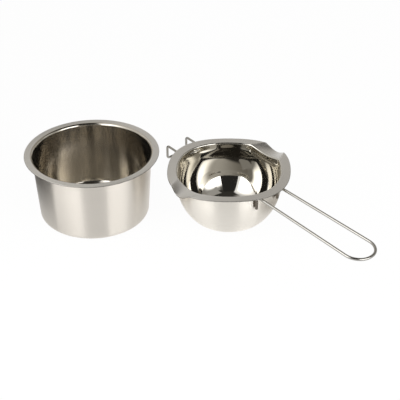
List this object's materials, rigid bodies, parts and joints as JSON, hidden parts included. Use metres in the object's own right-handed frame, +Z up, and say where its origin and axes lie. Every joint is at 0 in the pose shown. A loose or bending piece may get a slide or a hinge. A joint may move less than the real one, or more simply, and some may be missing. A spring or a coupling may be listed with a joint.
{
  "type": "melting pot",
  "caption": "Stainless melting set: a plain lipped water pot and, beside it, a round melting bowl with pouring spouts, a long wire loop handle and a wire rest hook; the bowl lifts off.",
  "frame": {"origin": "centre of the water pot's base, on the plane that both vessels stand on", "axes": "+X from the pot towards the bowl and along the longest extent, +Y away from the front, +Z up"},
  "size_m": [0.3579, 0.2718, 0.078],
  "materials": {
    "pot_steel": "brushed round the wall, satin lip",
    "bowl_steel": "mirror polished inside, satin outside, brushed lip",
    "wire_steel": "drawn and polished wire",
    "weld_steel": "dull weld metal, burnt dark"
  },
  "bodies": {
    "pot": {"water_pot": "pot_steel"},
    "bowl": {"melting_bowl": "bowl_steel", "loop_handle": "wire_steel", "rest_hook": "wire_steel", "handle_weld_left": "weld_steel", "handle_weld_right": "weld_steel", "hook_weld_left": "weld_steel", "hook_weld_right": "weld_steel"}
  },
  "joints": [
    {"name": "bowl_lift", "type": "slide", "parent": "pot", "child": "bowl", "axis": [0, 0, 1], "range_m": [0, 0.12]}
  ]
}
